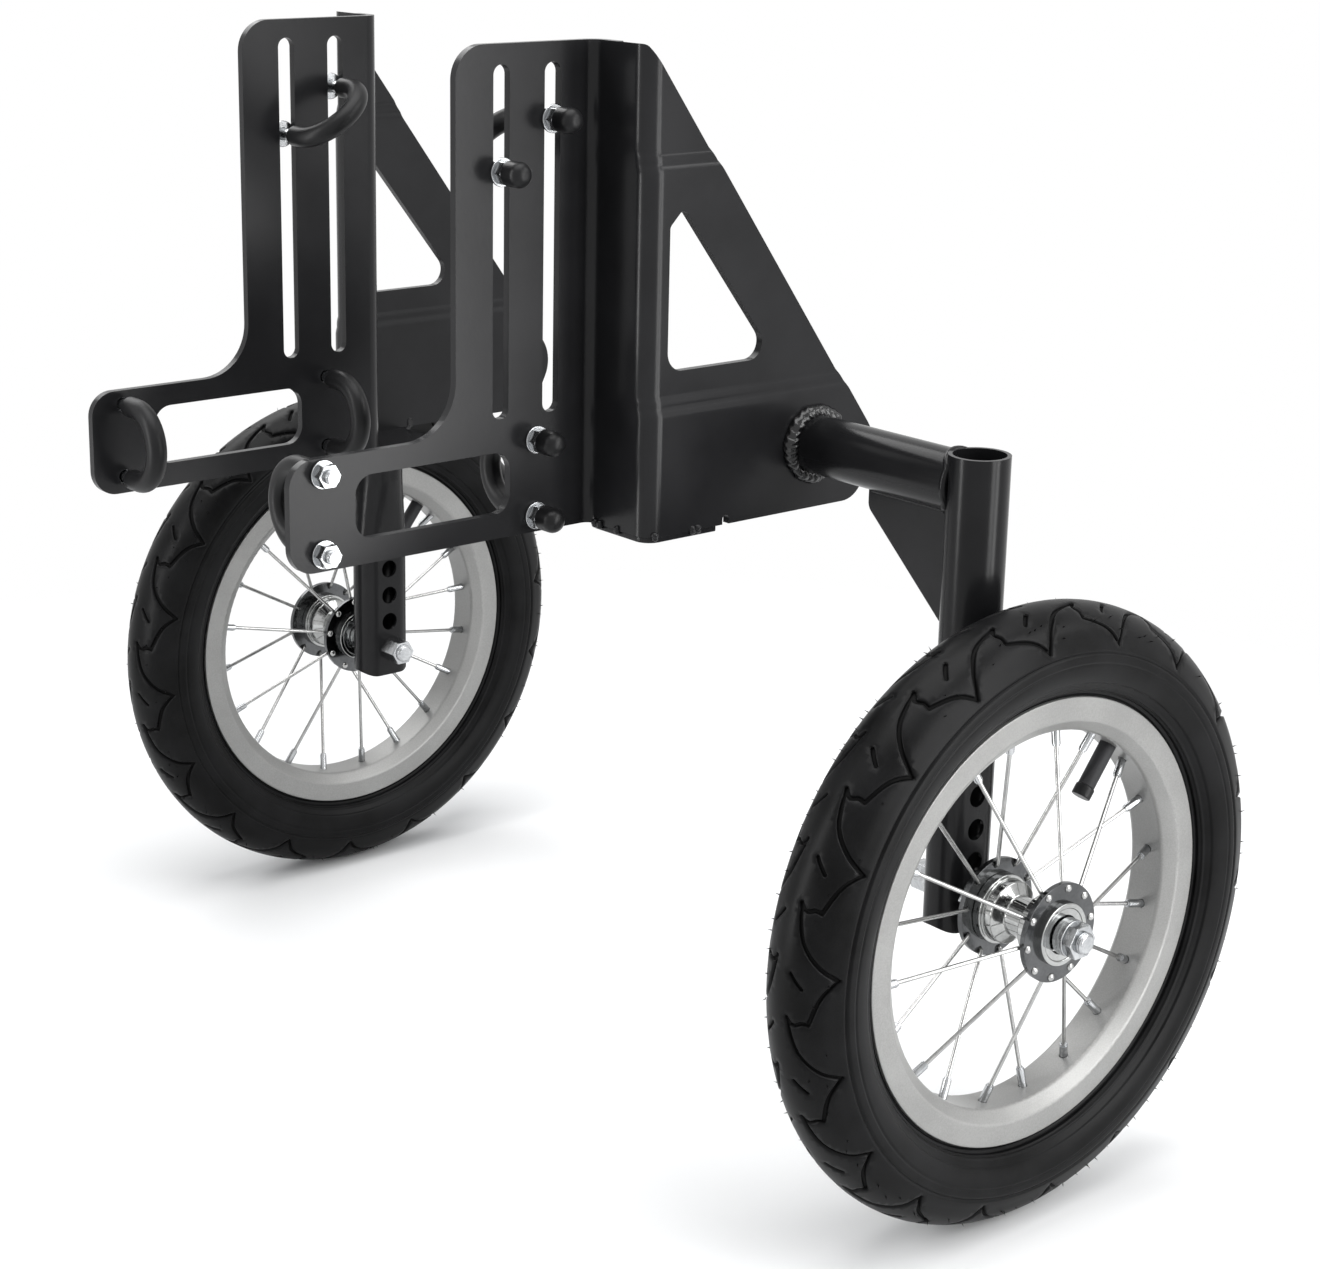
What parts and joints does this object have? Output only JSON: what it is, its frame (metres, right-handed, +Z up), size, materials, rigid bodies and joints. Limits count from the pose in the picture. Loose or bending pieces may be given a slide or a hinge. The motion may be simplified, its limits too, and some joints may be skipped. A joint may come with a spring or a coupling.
{
  "type": "bicycle training wheels",
  "caption": "Pair of clamp-on training wheels: spoked wheels with rubber tyres on welded arms, each with a folded, slotted steel bracket that U-bolts hold to a bicycle's stays.",
  "frame": {"origin": "on the floor under the middle of the pair's box", "axes": "+X forward on the bicycle, +Y to its left, +Z up"},
  "size_m": [0.4189, 0.642, 0.5359],
  "materials": {
    "black_coat": "satin black powder coat on folded and welded steel",
    "zinc": "bright zinc plate",
    "hub_chrome": "polished plated steel",
    "bearing_steel": "ground steel",
    "rim_silver": "silver lacquered steel",
    "black_sleeve": "soft black sleeve",
    "black_cap": "soft black vinyl",
    "inner_rubber": "matt butyl rubber",
    "tyre_black": "black tyre rubber"
  },
  "bodies": {
    "brackets": {"left_bracket": "black_coat", "left_bracket_foot": "black_coat", "left_arm_tube": "black_coat", "left_leg_tube": "black_coat", "left_gusset": "black_coat", "left_chain_stay_u_bolts": "zinc", "left_axle": "zinc", "right_bracket": "black_coat", "right_bracket_foot": "black_coat", "right_arm_tube": "black_coat", "right_leg_tube": "black_coat", "right_gusset": "black_coat", "right_chain_stay_u_bolts": "zinc", "right_axle": "zinc", "weld_beads": "black_coat", "chain_stay_sleeves": "black_sleeve", "chain_stay_washers": "zinc", "chain_stay_nuts": "zinc", "chain_stay_caps": "black_cap", "axle_nuts": "zinc", "bearing_cones": "bearing_steel"},
    "left_wheel": {"left_hub_shell": "hub_chrome", "left_inner_flange": "hub_chrome", "left_outer_flange": "hub_chrome", "left_bearing_balls": "bearing_steel", "left_dust_caps": "hub_chrome", "left_spokes": "zinc", "left_nipples": "zinc", "left_rim": "rim_silver", "left_rim_tape": "inner_rubber", "left_inner_tube": "inner_rubber", "left_valve_stem": "inner_rubber", "left_valve_cap": "black_cap", "left_tyre": "tyre_black"},
    "right_wheel": {"right_hub_shell": "hub_chrome", "right_inner_flange": "hub_chrome", "right_outer_flange": "hub_chrome", "right_bearing_balls": "bearing_steel", "right_dust_caps": "hub_chrome", "right_spokes": "zinc", "right_nipples": "zinc", "right_rim": "rim_silver", "right_rim_tape": "inner_rubber", "right_inner_tube": "inner_rubber", "right_valve_stem": "inner_rubber", "right_valve_cap": "black_cap", "right_tyre": "tyre_black"},
    "left_seat_clamp": {"left_seat_stay_u_bolt": "zinc", "left_seat_stay_sleeve": "black_sleeve", "left_seat_stay_washers": "zinc", "left_seat_stay_nuts": "zinc", "left_seat_stay_caps": "black_cap"},
    "right_seat_clamp": {"right_seat_stay_u_bolt": "zinc", "right_seat_stay_sleeve": "black_sleeve", "right_seat_stay_washers": "zinc", "right_seat_stay_nuts": "zinc", "right_seat_stay_caps": "black_cap"}
  },
  "joints": [
    {"name": "left_wheel_spin", "type": "hinge", "parent": "brackets", "child": "left_wheel", "pos_m": [-0.0605, 0.279, 0.149], "axis": [0, 1, 0], "continuous": true},
    {"name": "right_wheel_spin", "type": "hinge", "parent": "brackets", "child": "right_wheel", "pos_m": [-0.0605, -0.279, 0.149], "axis": [0, 1, 0], "continuous": true},
    {"name": "left_seat_clamp_slide", "type": "slide", "parent": "brackets", "child": "left_seat_clamp", "axis": [0, 0, 1], "range_m": [-0.107, 0.02]},
    {"name": "right_seat_clamp_slide", "type": "slide", "parent": "brackets", "child": "right_seat_clamp", "axis": [0, 0, 1], "range_m": [-0.107, 0.02]}
  ]
}
